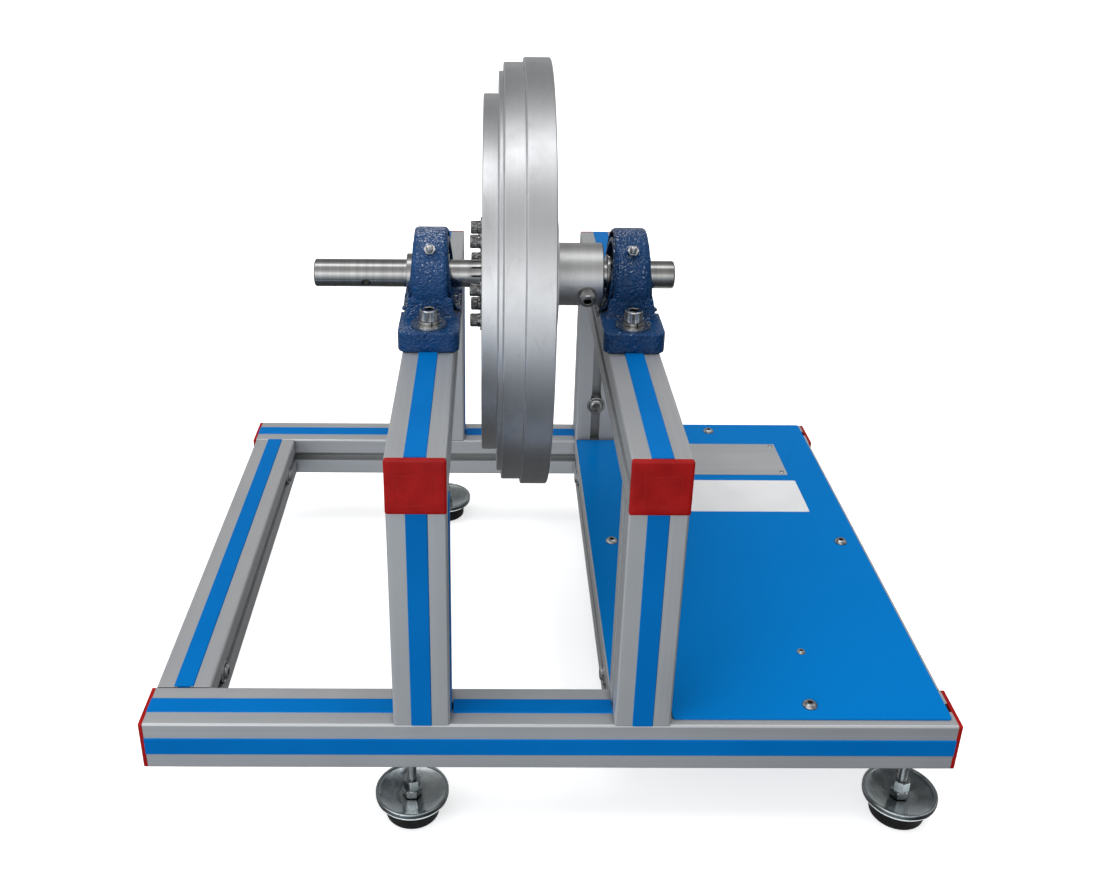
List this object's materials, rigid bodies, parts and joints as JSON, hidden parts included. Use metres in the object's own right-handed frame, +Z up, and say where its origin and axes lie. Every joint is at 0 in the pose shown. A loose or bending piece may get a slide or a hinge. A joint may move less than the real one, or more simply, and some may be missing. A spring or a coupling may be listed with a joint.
{
  "type": "inertia flywheel apparatus",
  "caption": "Bench flywheel on a shaft in two pillow block bearings, carried by portals on a slotted-bar base with levelling feet, for moment of inertia tests.",
  "frame": {"origin": "middle of the footprint on the floor, under the shaft line", "axes": "+X to the right along the shaft, +Y to the back, +Z up"},
  "size_m": [0.662, 0.547, 0.5885],
  "materials": {
    "anodised_bar": "satin anodised",
    "red_cap": "gloss moulded",
    "blue_strip": "satin extruded",
    "blue_panel": "gloss powder coat",
    "bright_screw": "bright zinc",
    "name_plate": "brushed, bare",
    "white_label": "white coated, bare",
    "cast_housing": "painted rough casting",
    "bearing_steel": "ground",
    "black_rubber": "matte",
    "dark_screw": "plated, dark in the recesses",
    "washer_steel": "plated",
    "zinc": "bright zinc",
    "zinc_dish": "bright pressed zinc",
    "ground_shaft": "ground, polished",
    "turned_disc": "fine turned",
    "cage_brass": "plain"
  },
  "bodies": {
    "frame": {"front_beam": "anodised_bar", "rear_beam": "anodised_bar", "left_rail": "anodised_bar", "middle_rail": "anodised_bar", "right_rail": "anodised_bar", "left_front_post": "anodised_bar", "left_rear_post": "anodised_bar", "left_top_member": "anodised_bar", "right_front_post": "anodised_bar", "right_rear_post": "anodised_bar", "right_top_member": "anodised_bar", "end_caps": "red_cap", "base_cover_strips": "blue_strip", "portal_cover_strips": "blue_strip", "base_panel": "blue_panel", "panel_screws": "bright_screw", "nameplate": "name_plate", "nameplate_rivets": "bright_screw", "label_plate": "white_label", "rail_connectors": "bright_screw", "post_joint_bolts": "bright_screw", "left_bearing_housing": "cast_housing", "right_bearing_housing": "cast_housing", "bearing_outer_rings": "bearing_steel", "bearing_seals": "black_rubber", "bearing_bolts": "dark_screw", "bearing_washers": "washer_steel", "slot_nuts": "zinc", "grease_nipples": "bright_screw"},
    "rotor": {"shaft": "ground_shaft", "hub": "turned_disc", "disc_a": "turned_disc", "disc_b": "turned_disc", "disc_c": "turned_disc", "disc_d": "turned_disc", "disc_bolts": "dark_screw", "disc_washers": "washer_steel", "hub_clamp_screw": "dark_screw", "bearing_inner_rings": "bearing_steel", "bearing_set_screws": "dark_screw"},
    "ball_cages": {"bearing_balls": "bearing_steel", "bearing_cages": "cage_brass"},
    "foot_fl": {"foot_plate_fl": "zinc_dish", "foot_pad_fl": "black_rubber"},
    "stud_fl": {"foot_stud_fl": "zinc", "foot_nut_fl": "zinc"},
    "foot_fr": {"foot_plate_fr": "zinc_dish", "foot_pad_fr": "black_rubber"},
    "stud_fr": {"foot_stud_fr": "zinc", "foot_nut_fr": "zinc"},
    "foot_rl": {"foot_plate_rl": "zinc_dish", "foot_pad_rl": "black_rubber"},
    "stud_rl": {"foot_stud_rl": "zinc", "foot_nut_rl": "zinc"},
    "foot_rr": {"foot_plate_rr": "zinc_dish", "foot_pad_rr": "black_rubber"},
    "stud_rr": {"foot_stud_rr": "zinc", "foot_nut_rr": "zinc"}
  },
  "joints": [
    {"name": "rotor_spin", "type": "hinge", "parent": "frame", "child": "rotor", "pos_m": [0, 0, 0.4], "axis": [1, 0, 0], "continuous": true},
    {"name": "cage_spin", "type": "hinge", "parent": "frame", "child": "ball_cages", "pos_m": [0, 0, 0.4], "axis": [1, 0, 0], "continuous": true},
    {"name": "foot_fl_height", "type": "slide", "parent": "frame", "child": "foot_fl", "axis": [0, 0, 1], "range_m": [-0.006, 0.01]},
    {"name": "foot_fl_screw", "type": "hinge", "parent": "foot_fl", "child": "stud_fl", "pos_m": [-0.115, -0.2425, 0.03], "axis": [0, 0, 1], "range_deg": [-1730, 2882]},
    {"name": "foot_fr_height", "type": "slide", "parent": "frame", "child": "foot_fr", "axis": [0, 0, 1], "range_m": [-0.006, 0.01]},
    {"name": "foot_fr_screw", "type": "hinge", "parent": "foot_fr", "child": "stud_fr", "pos_m": [0.3, -0.2425, 0.03], "axis": [0, 0, 1], "range_deg": [-1730, 2882]},
    {"name": "foot_rl_height", "type": "slide", "parent": "frame", "child": "foot_rl", "axis": [0, 0, 1], "range_m": [-0.006, 0.01]},
    {"name": "foot_rl_screw", "type": "hinge", "parent": "foot_rl", "child": "stud_rl", "pos_m": [-0.106, 0.2425, 0.03], "axis": [0, 0, 1], "range_deg": [-1730, 2882]},
    {"name": "foot_rr_height", "type": "slide", "parent": "frame", "child": "foot_rr", "axis": [0, 0, 1], "range_m": [-0.006, 0.01]},
    {"name": "foot_rr_screw", "type": "hinge", "parent": "foot_rr", "child": "stud_rr", "pos_m": [0.3, 0.2425, 0.03], "axis": [0, 0, 1], "range_deg": [-1730, 2882]}
  ],
  "couplings": [
    {"joint": "cage_spin", "follows": "rotor_spin", "ratio": 0.4},
    {"joint": "foot_fl_screw", "follows": "foot_fl_height", "rad_per_m": 5026.5},
    {"joint": "foot_fr_screw", "follows": "foot_fr_height", "rad_per_m": 5026.5},
    {"joint": "foot_rl_screw", "follows": "foot_rl_height", "rad_per_m": 5026.5},
    {"joint": "foot_rr_screw", "follows": "foot_rr_height", "rad_per_m": 5026.5}
  ]
}
